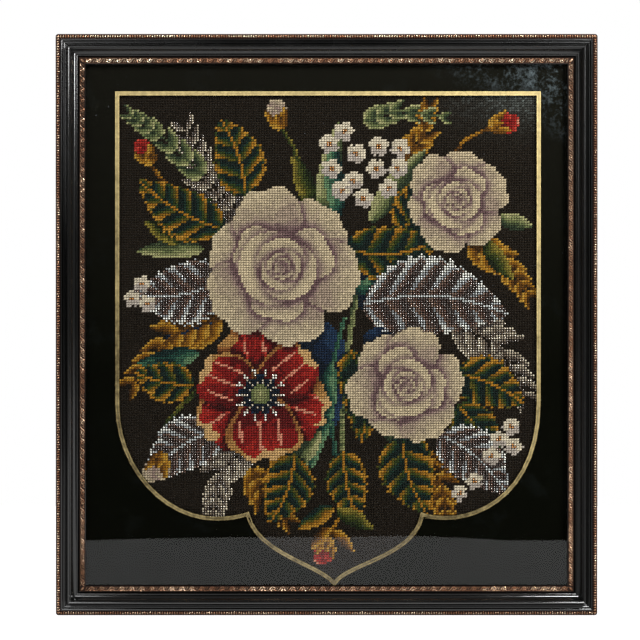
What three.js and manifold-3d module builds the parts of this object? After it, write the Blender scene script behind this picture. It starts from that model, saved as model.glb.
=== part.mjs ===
// A stitched and beaded needlework panel in its glazed, ebonised picture frame.
//
// The frame stands upright with its face towards -Y, +X to the right and +Z up. Its origin is the
// middle of the bottom edge, at half the frame's depth. All sizes are millimetres.
//
// From the front to the back the frame holds a glass pane, a black border and a gold line painted
// on the back of that glass, the stretched needlework, and a thin wooden backboard. Four mitred
// rails carry them in a rebate. Each rail has a ribbed edging at its outer corner and a narrow
// ornamental slip beside the glass.

import * as THREE from "three";
import { mergeVertices } from "three/addons/utils/BufferGeometryUtils.js";
import Module from "manifold-3d";

const wasm = await Module();
wasm.setup();

// Driving dimensions
const WIDTH = 438;
const HEIGHT = 470;
const DEPTH = 28;
const RAIL_WIDTH = 24;
const REBATE_WIDTH = 6.5;
const CORNER_RADIUS = 2.4;

const CLEARANCE = 0.3;
const MITRE_CLEARANCE = 0.15;

// Heights in front of the back plane at which each layer starts, from the lip towards the back
const LIP_UNDERSIDE = 17.3;
const GLASS_THICKNESS = 2.2;
const PAINT_THICKNESS = 0.5;
const PILE_HEIGHT = 2;
const CANVAS_THICKNESS = 1;
const BOARD_THICKNESS = 5;

// The stitched field stops short of the canvas edge, which stays bare
const CANVAS_MARGIN = 6;

const GOLD_WIDTH = 3.6;

// Straight steps in each curve of a section or an outline
const CURVE_STEPS = 12;

// Straight steps in each rounded outer corner. They are few and broad, so that the frame stands on
// its flat lower side alone, and not also on a fine facet that hardly leaves the surface below.
const CORNER_STEPS = 4;

// The painted window, along the middle of its gold line: a straight top and sides, a round lobe at
// each lower corner, and between the lobes a pointed drop. It was laid out by eye, so its two
// halves differ a little. Each lower curve has one or two handles and an end, as [x, z] above the
// frame's bottom edge, and starts where the one before it ends.
const WINDOW = {
  left: -169.8,
  right: 172.1,
  top: 422.6,
  leftSideEnd: 170,
  lowerCurves: [
    { name: "left lobe", handles: [[-169.8, 118.8], [-131.4, 77.6]], end: [-90, 77.6] },
    { name: "left cusp", handles: [[-75, 77.6]], end: [-64.2, 81.4] },
    { name: "drop, left half", handles: [[-56.4, 48.9], [-6.9, 40.9]], end: [6.3, 25.1] },
    { name: "drop, right half", handles: [[16.6, 41.5], [72.1, 46.8]], end: [77.6, 80.8] },
    { name: "right cusp", handles: [[86, 78.2]], end: [97, 78.2] },
    { name: "right lobe", handles: [[128, 78.2], [172.1, 102]], end: [172.1, 172] },
  ],
};

// Colours as the real surfaces show them
const FINISH = {
  ebony: new THREE.MeshStandardMaterial({ color: 0x17171a, roughness: 0.3, metalness: 0 }),
  copperGilt: new THREE.MeshStandardMaterial({ color: 0x8a5a3c, roughness: 0.4, metalness: 0.6 }),
  glass: new THREE.MeshStandardMaterial({ color: 0xdfe6e4, roughness: 0.05, metalness: 0 }),
  blackPaint: new THREE.MeshStandardMaterial({ color: 0x0b0b0a, roughness: 0.15, metalness: 0 }),
  goldPaint: new THREE.MeshStandardMaterial({ color: 0xc8ac62, roughness: 0.45, metalness: 0.5 }),
  needlework: new THREE.MeshStandardMaterial({ color: 0x3a352e, roughness: 0.95, metalness: 0 }),
  backboard: new THREE.MeshStandardMaterial({ color: 0x8b6a45, roughness: 0.8, metalness: 0 }),
};

// Solids

function solidOf(geometry) {
  const bare = geometry.index ? geometry.toNonIndexed() : geometry.clone();
  bare.deleteAttribute("normal");
  bare.deleteAttribute("uv");
  const merged = mergeVertices(bare, 1e-4);
  return new wasm.Manifold(
    new wasm.Mesh({
      numProp: 3,
      vertProperties: new Float32Array(merged.attributes.position.array),
      triVerts: new Uint32Array(merged.index.array),
    }),
  );
}

function geometryOf(solid) {
  const { vertProperties, triVerts } = solid.getMesh();
  const geometry = new THREE.BufferGeometry();
  geometry.setAttribute("position", new THREE.BufferAttribute(vertProperties, 3));
  geometry.setIndex(new THREE.BufferAttribute(triVerts, 1));
  geometry.computeVertexNormals();
  return geometry;
}

// An upright plate of an outline in the X-Z plane, from one height above the back plane to another
function plate(shape, lowHeight, thickness, curveSegments = CURVE_STEPS) {
  const geometry = new THREE.ExtrudeGeometry(shape, {
    depth: thickness,
    bevelEnabled: false,
    curveSegments,
  });
  geometry.rotateX(Math.PI / 2);
  geometry.translate(0, DEPTH / 2 - lowHeight, 0);
  return geometry;
}

function rectangle(width, height, radius = 0) {
  const [w, h, r] = [width / 2, height / 2, radius];
  const shape = new THREE.Shape();
  shape.moveTo(-w + r, -h);
  shape.lineTo(w - r, -h);
  if (r) shape.absarc(w - r, -h + r, r, -Math.PI / 2, 0);
  shape.lineTo(w, h - r);
  if (r) shape.absarc(w - r, h - r, r, 0, Math.PI / 2);
  shape.lineTo(-w + r, h);
  if (r) shape.absarc(-w + r, h - r, r, Math.PI / 2, Math.PI);
  shape.lineTo(-w, -h + r);
  if (r) shape.absarc(-w + r, -h + r, r, Math.PI, 1.5 * Math.PI);
  return shape;
}

// Sections of the frame's strips: x is the distance in from the outer side, y the height in front
// of the back plane

const SLIP = { start: 19.1, width: 4.6, seat: 19.5, rise: 2 };
const EDGING = { width: 3.7, seat: 18.9, side: 2, rise: 3.9 };

function reed(shape, start, height, width) {
  shape.lineTo(start, height);
  shape.absarc(start + width / 2, height, width / 2, Math.PI, 0, true);
}

function railSection() {
  const rebateSide = RAIL_WIDTH - REBATE_WIDTH;
  const notch = { width: EDGING.width + CLEARANCE, floor: EDGING.seat - CLEARANCE };
  const shape = new THREE.Shape();
  shape.moveTo(0, 0);
  shape.lineTo(0, notch.floor);
  shape.lineTo(notch.width, notch.floor);
  shape.lineTo(notch.width, 21.6);
  reed(shape, 4.3, 21.6, 1.4);
  shape.lineTo(5.9, 21.2);
  reed(shape, 6.3, 21.2, 1.4);
  shape.lineTo(8, 20.5);
  shape.quadraticCurveTo(9.9, 20.9, 10.2, 25);
  shape.lineTo(10.2, 27.1);
  reed(shape, 10.25, 27.1, 1.8);
  shape.lineTo(12.1, 26);
  shape.bezierCurveTo(13.2, 25.8, 13.4, 23.2, 15.4, 22.5);
  shape.lineTo(15.4, 22);
  shape.lineTo(16.6, 21.8);
  reed(shape, 16.8, 21.8, 1);
  shape.lineTo(18, 21.2);
  shape.lineTo(SLIP.start - CLEARANCE, SLIP.seat);
  shape.lineTo(RAIL_WIDTH, SLIP.seat);
  shape.lineTo(RAIL_WIDTH, LIP_UNDERSIDE);
  shape.lineTo(rebateSide, LIP_UNDERSIDE);
  shape.lineTo(rebateSide, 0);
  return shape;
}

function edgingSection() {
  const { width, seat, side, rise } = EDGING;
  const shape = new THREE.Shape();
  shape.moveTo(0, seat);
  shape.lineTo(0, seat + side);
  shape.bezierCurveTo(0, seat + rise, width, seat + rise, width, seat + side);
  shape.lineTo(width, seat);
  return shape;
}

function slipSection() {
  const { start, width, seat, rise } = SLIP;
  const foot = seat + CLEARANCE;
  const shape = new THREE.Shape();
  shape.moveTo(start, foot);
  shape.lineTo(start, foot + 0.8);
  shape.quadraticCurveTo(start + width / 2, foot + rise, start + width, foot + 0.8);
  shape.lineTo(start + width, foot);
  return shape;
}

// One straight strip with its ends cut at 45 degrees. It lies along X and its outer side faces -Z,
// at half the frame's span from the origin.
function mitredStrip(section, length, span) {
  const geometry = new THREE.ExtrudeGeometry(section, {
    depth: 1,
    bevelEnabled: false,
    curveSegments: CURVE_STEPS,
  });
  const position = geometry.getAttribute("position");
  for (let i = 0; i < position.count; i += 1) {
    const inward = position.getX(i);
    const height = position.getY(i);
    const end = position.getZ(i) > 0.5 ? 1 : -1;
    const reach = length / 2 - inward - MITRE_CLEARANCE;
    position.setXYZ(i, end * reach, DEPTH / 2 - height, inward - span / 2);
  }
  return geometry;
}

// The worn, rounded outer corners of the frame
function roundedAtCorners(geometry, length, span) {
  const slab = plate(rectangle(length, span, CORNER_RADIUS), -1, DEPTH + 2, CORNER_STEPS);
  return geometryOf(solidOf(geometry).intersect(solidOf(slab)));
}

// The painted window

function windowOutline() {
  const { left, right, top, leftSideEnd, lowerCurves } = WINDOW;
  const shape = new THREE.Shape();
  shape.moveTo(left, top);
  shape.lineTo(left, leftSideEnd);
  for (const { handles, end } of lowerCurves) {
    if (handles.length === 1) shape.quadraticCurveTo(...handles[0], ...end);
    else shape.bezierCurveTo(...handles[0], ...handles[1], ...end);
  }
  shape.lineTo(right, top);
  return shape.getPoints(CURVE_STEPS);
}

// The same outline moved inwards, or outwards by a negative distance, with mitres at its corners
function inset(points, distance) {
  return points.map((point, i) => {
    const before = points[(i + points.length - 1) % points.length];
    const after = points[(i + 1) % points.length];
    const normals = [
      [before, point],
      [point, after],
    ].map(([from, to]) => {
      const along = to.clone().sub(from).normalize();
      return new THREE.Vector2(-along.y, along.x);
    });
    const sum = normals[0].clone().add(normals[1]);
    const stretch = distance / (1 + normals[0].dot(normals[1]));
    return point.clone().addScaledVector(sum, stretch);
  });
}

// Pieces

const part = new THREE.Group();

function add(parent, name, geometry, material) {
  const mesh = new THREE.Mesh(geometry, material);
  mesh.name = name;
  parent.add(mesh);
  return mesh;
}

// Each side of the frame is one group, turned into place about the frame's middle
const SIDES = [
  { name: "bottom", turn: 0, length: WIDTH, span: HEIGHT },
  { name: "left", turn: Math.PI / 2, length: HEIGHT, span: WIDTH },
  { name: "top", turn: Math.PI, length: WIDTH, span: HEIGHT },
  { name: "right", turn: -Math.PI / 2, length: HEIGHT, span: WIDTH },
];

for (const { name, turn, length, span } of SIDES) {
  const side = new THREE.Group();
  side.position.z = HEIGHT / 2;
  side.rotation.y = turn;
  part.add(side);

  const strip = (section) => mitredStrip(section, length, span);
  add(side, `rail_${name}`, roundedAtCorners(strip(railSection()), length, span), FINISH.ebony);
  add(side, `edging_${name}`, roundedAtCorners(strip(edgingSection()), length, span), FINISH.copperGilt);
  add(side, `slip_${name}`, strip(slipSection()), FINISH.copperGilt);
}

// What lies in the rebate, each layer a little behind the one in front of it
const REBATE = {
  width: WIDTH - 2 * (RAIL_WIDTH - REBATE_WIDTH + CLEARANCE),
  height: HEIGHT - 2 * (RAIL_WIDTH - REBATE_WIDTH + CLEARANCE),
};
const glassBack = LIP_UNDERSIDE - CLEARANCE - GLASS_THICKNESS;
const paintBack = glassBack - CLEARANCE - PAINT_THICKNESS;
const pileBack = paintBack - CLEARANCE - PILE_HEIGHT;
const canvasBack = pileBack - CANVAS_THICKNESS;
const boardBack = canvasBack - CLEARANCE - BOARD_THICKNESS;

const stack = new THREE.Group();
stack.position.z = HEIGHT / 2;
part.add(stack);

const pane = rectangle(REBATE.width, REBATE.height);
add(stack, "glass", plate(pane, glassBack, GLASS_THICKNESS), FINISH.glass);
add(stack, "backboard", plate(pane, boardBack, BOARD_THICKNESS), FINISH.backboard);

// The pile starts inside the canvas so that the two become one solid
const SHARED = 0.2;
const stitchedField = rectangle(REBATE.width - 2 * CANVAS_MARGIN, REBATE.height - 2 * CANVAS_MARGIN);
const needlework = solidOf(plate(pane, canvasBack, CANVAS_THICKNESS)).add(
  solidOf(plate(stitchedField, pileBack - SHARED, PILE_HEIGHT + SHARED)),
);
add(stack, "needlework", geometryOf(needlework), FINISH.needlework);

// The outline is given above the frame's bottom edge, and the stack is centred on its middle
const outline = windowOutline().map((p) => new THREE.Vector2(p.x, p.y - HEIGHT / 2));

const border = rectangle(REBATE.width, REBATE.height);
border.holes.push(new THREE.Path(inset(outline, -GOLD_WIDTH / 2 - CLEARANCE)));
add(stack, "black_border", plate(border, paintBack, PAINT_THICKNESS), FINISH.blackPaint);

const goldLine = new THREE.Shape(inset(outline, -GOLD_WIDTH / 2));
goldLine.holes.push(new THREE.Path(inset(outline, GOLD_WIDTH / 2)));
add(stack, "gold_line", plate(goldLine, paintBack, PAINT_THICKNESS), FINISH.goldPaint);

export default part;
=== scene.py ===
"""A stitched and beaded needlework panel behind painted glass, in its black moulded frame.

The bouquet is charted by formulas, one colour for each stitch of a canvas with twelve stitches to
the inch. Wool is laid as crossed strands and the leaves and sprays that glint are glass beads.
"""

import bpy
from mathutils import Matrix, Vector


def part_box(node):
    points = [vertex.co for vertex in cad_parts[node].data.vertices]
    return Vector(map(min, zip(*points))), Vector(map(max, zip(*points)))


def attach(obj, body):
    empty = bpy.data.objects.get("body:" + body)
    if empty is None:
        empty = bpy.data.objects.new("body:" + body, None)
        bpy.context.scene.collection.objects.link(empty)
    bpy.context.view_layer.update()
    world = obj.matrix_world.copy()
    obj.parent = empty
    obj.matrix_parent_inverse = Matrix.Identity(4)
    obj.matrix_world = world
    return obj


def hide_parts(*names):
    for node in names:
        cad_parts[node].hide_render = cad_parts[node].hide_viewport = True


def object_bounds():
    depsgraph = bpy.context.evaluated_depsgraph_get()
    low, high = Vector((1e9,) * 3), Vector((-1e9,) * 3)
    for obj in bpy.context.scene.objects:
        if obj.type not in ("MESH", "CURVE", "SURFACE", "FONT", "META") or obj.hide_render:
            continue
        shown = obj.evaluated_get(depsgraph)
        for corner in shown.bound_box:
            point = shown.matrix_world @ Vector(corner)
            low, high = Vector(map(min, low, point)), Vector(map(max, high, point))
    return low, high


bl_info = {
    "name": "Needlework Panel",
    "version": (1, 0, 0),
    "blender": (4, 5, 0),
    "location": "3D View > Sidebar > Needlework",
    "description": "Stitches, beads, glass, painted border and gilt mouldings of a framed needlework panel",
    "category": "Object",
}

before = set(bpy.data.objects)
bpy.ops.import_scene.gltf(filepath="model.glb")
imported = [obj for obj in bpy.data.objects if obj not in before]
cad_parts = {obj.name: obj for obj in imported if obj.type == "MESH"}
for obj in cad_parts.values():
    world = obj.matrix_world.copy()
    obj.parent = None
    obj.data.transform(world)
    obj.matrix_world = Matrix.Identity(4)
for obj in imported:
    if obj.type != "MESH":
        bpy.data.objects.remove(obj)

import math

import bmesh
import bpy
import numpy as np
from bpy.props import FloatProperty, FloatVectorProperty, IntProperty, PointerProperty
from mathutils import Vector
from mathutils.bvhtree import BVHTree

MM = 0.001
CORNER = 2.4 * MM  # radius of the frame's outer corners
CORNER_CUTS = 3
LINE_LAP = 0.25 * MM  # black paint over each edge of the gold line
LINE_EDGE = 0.95 * MM  # bright edge of the gold line, on both sides of its ochre middle
LINE_STEP = 0.02 * MM  # from the paint to the line's edges, and from these to its middle
LINE_MIDDLE = 0.7  # how bright the line's middle is beside its edges
SAME = 0.01 * MM  # places no further apart than this count as one
SIDES = ("bottom", "left", "top", "right")
CAD_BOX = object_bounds()


def span(node):
    """The lowest and highest corners of a node, as vectors."""
    return tuple(Vector(corner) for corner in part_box(node))


FRAME_LOW, FRAME_HIGH = Vector(CAD_BOX[0]), Vector(CAD_BOX[1])
FRAME_SIZE = FRAME_HIGH - FRAME_LOW
FRAME_MIDDLE = (FRAME_LOW + FRAME_HIGH) / 2


# Sizes and colours


class StitchSettings(bpy.types.PropertyGroup):
    """Sizes of the stitches and beads."""

    width: FloatProperty(name="Stitch width", description="One canvas square, across",
                         default=2.114 * MM, unit="LENGTH", precision=6)
    height: FloatProperty(name="Stitch height", description="One canvas square, up",
                          default=2.009 * MM, unit="LENGTH", precision=6)
    strand: FloatProperty(name="Strand width", description="Width of a laid strand of wool",
                          default=1.3 * MM, unit="LENGTH", precision=6)
    bead: FloatProperty(name="Bead diameter", description="Diameter of a glass bead",
                        default=1.8 * MM, unit="LENGTH", precision=6)
    seed: IntProperty(name="Seed", description="Seed of the small differences between stitches",
                      default=12)


class MouldingSettings(bpy.types.PropertyGroup):
    """Repeats and colours of the mouldings."""

    rib_pitch: FloatProperty(name="Rib pitch", description="From one rib of the edging to the next",
                             default=2.0 * MM, unit="LENGTH", precision=6)
    scroll_pitch: FloatProperty(name="Scroll pitch", description="From one scroll to the next",
                                default=8.1 * MM, unit="LENGTH", precision=6)
    ebony: FloatVectorProperty(name="Ebony", description="Black polished wood", subtype="COLOR",
                               default=(0.0026, 0.0026, 0.0024), min=0, max=1)
    copper: FloatVectorProperty(name="Copper gilt", description="Raised parts of the gilt strips",
                                subtype="COLOR", default=(0.48, 0.225, 0.118), min=0, max=1)
    gold: FloatVectorProperty(name="Gold", description="The painted line", subtype="COLOR",
                              default=(0.53, 0.41, 0.17), min=0, max=1)


class StageSettings(bpy.types.PropertyGroup):
    """The camera and the studio."""

    distance: FloatProperty(name="Camera distance", description="From the camera to the panel's face",
                            default=1.8, unit="LENGTH")
    elevation: FloatProperty(name="Camera elevation", description="How far the camera looks down",
                             default=math.radians(0.25), subtype="ANGLE")
    view_width: FloatProperty(name="View width", description="The picture's width at the panel's face",
                              default=0.51535, unit="LENGTH")
    offset: FloatVectorProperty(name="Aim", description="The picture's middle from the frame's middle",
                                default=(-5.35 * MM, 0, 3.9 * MM), unit="LENGTH")
    floor_front: FloatProperty(name="Floor in the glass", description="How much floor the glass mirrors",
                               default=0.605, unit="LENGTH")


# Colours of wool and beads, dark to light. Each row is one bundle of threads.
WOOLS = {
    "ground": ("150f0a", "1a140c"),
    "rose": ("6a555c", "7f6b6f", "93827f", "a2948a", "b0a494", "bcb19c", "c8bda6"),
    "red": ("380e10", "571416", "7e1b1b", "9e2823", "b44238", "cf8b78"),
    "tan": ("4b2b19", "704426", "946439", "b08752", "c9a878"),
    "ochre": ("3a260d", "5a3b12", "7d5517", "9d7120", "b48d38"),
    "leaf": ("10201f", "17302a", "2d3f1c", "53511d", "82601a", "9e7122", "ad822f"),
    "olive": ("1a2413", "2a3717", "434c1f", "625f27", "857b35"),
    "sage": ("2a382a", "435139", "63704b", "838c63", "a2a67c"),
    "night": ("0e1a2a", "152641", "1f3656"),
    "teal": ("10282a", "1c413c", "35604f", "5e8467"),
    "lilac": ("6a6472", "8f8a96", "b6b1b0", "d4cfc2"),
}
BEADS = {
    "ice": ("34201a", "4e2f22", "6d5244", "949dab", "bcc8d4", "e6eef4"),
    "pearl": ("362a22", "55473b", "776c60", "938a7d", "aea698", "c8c2b4"),
    "amber": ("7a4a12", "b5782a"),
    "white": ("b9bcc2", "eef2f5"),
}
BUNDLES = {**WOOLS, **BEADS}
AGE = (1.0, 0.925, 0.81)  # how much of each colour the yellowing of wool and glass leaves


def linear(code):
    """A linear colour from its six-digit code."""
    parts = (int(code[k : k + 2], 16) / 255 for k in (0, 2, 4))
    return [c / 12.92 if c <= 0.04045 else ((c + 0.055) / 1.055) ** 2.4 for c in parts]


# The chart: which thread goes where


class Chart:
    """One bundle and one tone for each stitch, drawn over from back to front, in millimetres."""

    def __init__(self, left, right, bottom, top, width, height):
        columns = math.floor((right - left) / width)
        rows = math.floor((top - bottom) / height)
        first_x = (left + right - (columns - 1) * width) / 2
        first_z = (bottom + top - (rows - 1) * height) / 2
        self.x, self.z = np.meshgrid(first_x + width * np.arange(columns),
                                     first_z + height * np.arange(rows))
        self.names = list(BUNDLES)
        self.bundle = np.zeros(self.x.shape, int)
        self.tone = np.full(self.x.shape, 0.5)

    def lay(self, mask, bundle, tone):
        self.bundle[mask] = self.names.index(bundle)
        self.tone[mask] = np.broadcast_to(tone, mask.shape)[mask]

    def shade(self, mask, amount):
        """Darkens what is already charted, but not the ground."""
        mask = mask & (self.bundle > 0)
        self.tone[mask] -= np.broadcast_to(amount, mask.shape)[mask]
        self.tone = np.clip(self.tone, 0, 1)

    def along(self, x, z, turn):
        """How far each stitch lies along and across a direction, in degrees, from a point."""
        c, s = math.cos(math.radians(turn)), math.sin(math.radians(turn))
        dx, dz = self.x - x, self.z - z
        return dx * c + dz * s, dz * c - dx * s

    def colours(self):
        """The linear colour of every stitch."""
        result = np.zeros((*self.x.shape, 3))
        for number, name in enumerate(self.names):
            ramp = np.array([linear(code) for code in BUNDLES[name]])
            here = self.bundle == number
            step = np.clip((self.tone[here] * len(ramp)).astype(int), 0, len(ramp) - 1)
            result[here] = ramp[step]
        return result * AGE


def falling(value):
    """A saw that falls from 1 to 0 over each whole number."""
    return 1 - (value - np.floor(value))


def blade(chart, x, z, turn, length, width, bundle, bend=0.0, low=0.1, high=1.0, lit=1):
    """A plain pointed leaf or leaflet that starts at a point."""
    along, across = chart.along(x, z, turn)
    s = along / length
    across = across - bend * length * np.clip(s, 0, 1) ** 2
    half = width / 2 * np.sin(np.pi * np.clip(s, 0, 1) ** 0.8) ** 0.8
    q = across / np.maximum(half, 0.5)
    tone = (low + high) / 2 + (high - low) / 2 * lit * q + 0.12 * np.sin(9 * s)
    chart.lay((s > 0) & (s < 1) & (np.abs(across) < half + 0.6), bundle, tone)


def veined_leaf(chart, x, z, turn, length, width, bundle, bend=0.0, veins=6, lit=1):
    """A toothed leaf with a midrib and lit side veins, over its own shadow."""
    along, across = chart.along(x, z, turn)
    s = along / length
    across = across - bend * length * np.sin(np.pi * np.clip(s, 0, 1))
    body = np.sin(np.pi * np.clip(s, 0, 1) ** 0.72) ** 0.75
    half = width / 2 * body * (1 + 0.16 * (falling(s * veins * 2) - 0.6))
    q = np.abs(across) / np.maximum(half, 0.5)
    bright_side = np.sign(across) * lit > 0
    vein = falling((s - 0.55 * np.abs(across) / length) * veins)
    ribbed = np.clip(1.7 * vein - 0.5, 0, 1) * (0.3 + 0.7 * q)
    margin = np.clip(6 * (q - 0.8), 0, 1)
    tone = 0.1 + np.where(bright_side, 1.05 * ribbed + 0.7 * margin, 0.75 * ribbed + 0.35 * margin)
    tone = np.where(np.abs(across) < 1.15, 0.78, tone)
    chart.shade((s > -0.02) & (s < 1.03) & (np.abs(across) < half + 3), 0.3)
    chart.lay((s > 0) & (s < 1) & (np.abs(across) < half), bundle, tone)


def stalk(chart, points, width, bundle, low=0.3, high=0.9):
    """A smooth stalk through a few points, lit on its upper side."""
    places = np.array(points, float)
    ends = (2 * places[0] - places[1], 2 * places[-1] - places[-2])
    padded = np.vstack([ends[0], places, ends[1]])
    t = np.linspace(0, len(places) - 1, 24 * len(places))
    i = np.minimum(t.astype(int), len(places) - 2)
    f = (t - i)[:, None]
    a, b, c, d = (padded[i + k] for k in range(4))
    line = b + 0.5 * f * (c - a + f * (2 * a - 5 * b + 4 * c - d + f * (3 * b - a - 3 * c + d)))
    gap = np.hypot(chart.x[..., None] - line[:, 0], chart.z[..., None] - line[:, 1])
    near = gap.argmin(-1)
    above = (chart.z - line[near, 1] + 0.6 * (chart.x - line[near, 0])) / width
    chart.lay(gap.min(-1) < width / 2, bundle, (low + high) / 2 + (high - low) * above)


def petal(chart, x, z, turn, length, width, bundle, low, high, rim=0.0, waves=0, shadow=0.3, notch=0.0):
    """A broad petal from its base at a point, lighter towards its rim, over a soft shadow."""
    along, across = chart.along(x, z, turn)
    s, q = along / length, across / (width / 2)
    broad = q * (1.35 - 0.5 * np.clip(s, 0, 1))
    reach = np.hypot(np.where(s < 0.5, 2 * s - 1, (s - 0.5) / 0.51), broad)
    angle = np.arctan2(q, s - 0.5)
    depth = reach / (1 + 0.05 * np.sin(waves * angle + turn) - notch * np.exp(-((angle / 0.25) ** 2)))
    fade = 11 / width
    chart.shade(depth < 1 + fade, shadow * (1 - (depth - 1) / fade))
    tone = low + (high - low) * np.clip(s, 0, 1) ** 1.2
    tone = tone + 0.05 * np.sin(11 * angle + turn) - 0.12 * np.abs(q)
    chart.lay(depth < 1, bundle, np.where(depth > 0.88, tone + rim, tone))
    return depth, s, q


def ringed(x, z, distance, turn):
    """A point at a distance from another, in a direction in degrees."""
    return x + distance * math.cos(math.radians(turn)), z + distance * math.sin(math.radians(turn))


# Outer petals of the rose, in the order in which they are laid: turn, reach and breadth
ROSE_PETALS = ((58, 0.96, 0.9), (172, 0.94, 0.86), (292, 1.0, 0.98), (0, 1.0, 0.95), (118, 1.02, 0.98),
               (228, 1.04, 1.0))
ROSE_INNER_PETALS = ((35, 0.63), (160, 0.62), (275, 0.66))
ROSE_FOLDS = 9


def folded_petal(chart, x, z, reach, turn, top):
    """A petal of the heart, curled inwards: light along its lip, dark where it goes down."""
    along, across = chart.along(x, z, turn)
    gap = np.hypot(along, across / 1.1) / reach
    chart.shade((gap >= 1) & (gap < 1.3), 0.42 * (1.3 - gap) / 0.3)
    side = along / reach
    chart.lay(gap < 1, "rose", top * (0.5 + 0.42 * side) + 0.1 * gap - 0.1 * (across / reach) * side)


def cabbage_rose(chart, x, z, size, turn):
    """A full pale rose: drooping outer petals round a heart of folded ones."""
    for angle, reach, breadth in ROSE_PETALS:
        base = ringed(x, z, 0.12 * size, angle + turn)
        petal(chart, *base, angle + turn, 0.9 * size * reach, 1.02 * size * breadth, "rose", 0.16, 0.97,
              rim=0.1, waves=5, shadow=0.45)
    for angle, reach in ROSE_INNER_PETALS:
        base = ringed(x, z, 0.04 * size, angle + turn)
        petal(chart, *base, angle + turn, size * reach, 1.12 * size * reach, "rose", 0.34, 0.98,
              rim=0.07, waves=3, shadow=0.42)
    reach, top = 0.44 * size, 1.05
    for fold in range(ROSE_FOLDS):
        angle = turn + 200 + 137.5 * fold
        folded_petal(chart, *ringed(x, z, 0.3 * reach, angle), reach, angle, top)
        reach *= 0.81
        top *= 0.94


POPPY_PETALS = ((90, 1.0, 1.25), (205, 0.95, 1.15), (335, 0.97, 1.15), (150, 0.9, 1.0), (30, 0.9, 1.0),
                (268, 0.92, 1.3))


def poppy(chart, x, z, size, turn):
    """A wide red flower with tan-lined petals, pink lights and a beaded middle."""
    for angle, reach, breadth in POPPY_PETALS:
        depth, s, q = petal(chart, x, z, angle + turn, size * reach, 0.86 * size * breadth, "red",
                            0.16, 0.68, rim=-0.1, waves=7, shadow=0.42, notch=0.07)
        faces_right = math.cos(math.radians(angle + turn))
        turned = (depth < 1) & (depth > 0.8 + 0.1 * np.sin(5 * q + angle)) & (q * faces_right > -0.35)
        chart.lay(turned, "tan", 0.45 + 0.5 * s - 0.2 * np.abs(q))
        lights = (depth < 0.74) & (s > 0.38) & (np.abs(np.sin(6.5 * q + 0.7 * angle)) > 0.965)
        chart.lay(lights, "red", 0.93)
    middle = np.hypot(chart.x - x, chart.z - z) / size
    angle = np.arctan2(chart.z - z, chart.x - x)
    chart.lay(middle < 0.27 + 0.03 * np.sin(9 * angle), "night", 0.2 + 0.5 * middle)
    chart.lay(middle < 0.14, "sage", 0.9 - 3 * middle)
    chart.lay((middle > 0.15) & (middle < 0.33) & (np.cos(14 * angle) > 0.72), "pearl", 0.75)
    chart.lay((middle > 0.29) & (middle < 0.36) & (np.cos(14 * angle) > 0.4), "white", 0.9)


def blossom(chart, x, z, size, turn):
    """A small flower with five petals and an amber bead."""
    for k in range(5):
        px, pz = ringed(x, z, 0.58 * size, turn + 72 * k)
        gap = np.hypot(chart.x - px, chart.z - pz) / size
        chart.lay(gap < 0.44, "lilac", 0.87 + 0.21 * (pz - z) / size / 0.58 - 0.25 * gap)
    chart.lay(np.hypot(chart.x - x, chart.z - z) < 0.26 * size, "amber", 0.9)


def bud(chart, x, z, turn, size, bundle):
    """A closed flower in its sepals."""
    foot = ringed(x, z, -0.62 * size, turn)
    petal(chart, *foot, turn - 8, 1.7 * size, 1.1 * size, bundle, 0.35, 0.8,
          rim=0.1, waves=2, shadow=0.2)
    petal(chart, *foot, turn + 14, 1.35 * size, 0.85 * size, bundle, 0.2, 0.65,
          rim=0.2, waves=2, shadow=0.25)
    for swing, reach in ((-34, 1.25), (30, 1.35), (0, 0.9)):
        blade(chart, *foot, turn + swing, reach * size, 0.42 * size, "ochre", -0.004 * swing, 0.3, 0.95)


def frond(chart, points, count, length, width, bundle, spread=48, high=0.95):
    """A feathery spray: leaflets in pairs along a bent stalk, shorter towards its tip."""
    places = np.array(points, float)
    for k, t in enumerate(np.linspace(0, len(places) - 1, count)):
        i = min(int(t), len(places) - 2)
        step = places[i + 1] - places[i]
        here = places[i] + step * (t - i)
        ahead = math.degrees(math.atan2(step[1], step[0]))
        part = 1 - 0.55 * k / count
        for side in (-1, 1):
            blade(chart, *here, ahead + side * spread, length * part, width * part, bundle,
                  -0.25 * side, 0.15, high, side)
    stalk(chart, points, 2.4, bundle, 0.2, 0.5)


# The layout, in millimetres from the middle of the frame's bottom edge
SHADOW_BLADES = (
    # x, z, turn, length, width
    (20, 300, 300, 90, 40),
    (-10, 240, 280, 90, 46),
    (30, 226, 330, 60, 40),
    (-90, 250, 215, 50, 30),
)
FRONDS = (
    # points, leaflets, length, width, bundle, spread, lightest tone
    (((-70, 322), (-98, 352), (-114, 392)), 8, 30, 9, "pearl", 50, 0.9),
    (((104, 236), (140, 218), (160, 180)), 8, 34, 10, "pearl", 50, 0.9),
    (((-60, 140), (-84, 118), (-92, 84)), 8, 30, 9, "pearl", 44, 0.9),
    (((-86, 240), (-124, 226), (-156, 190)), 8, 32, 11, "ochre", 46, 0.95),
    (((60, 366), (78, 388), (82, 408)), 6, 24, 8, "ochre", 40, 0.95),
    (((70, 130), (92, 108), (96, 84)), 6, 26, 8, "ochre", 44, 0.95),
    (((-60, 118), (-52, 96), (-34, 78)), 6, 24, 8, "ochre", 46, 0.9),
    (((116, 300), (144, 286), (162, 262)), 7, 26, 9, "ochre", 44, 0.95),
    (((30, 400), (56, 408), (92, 404)), 6, 20, 7, "sage", 40, 0.9),
    (((-100, 356), (-134, 388), (-158, 404)), 7, 22, 8, "sage", 42, 0.85),
)
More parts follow.
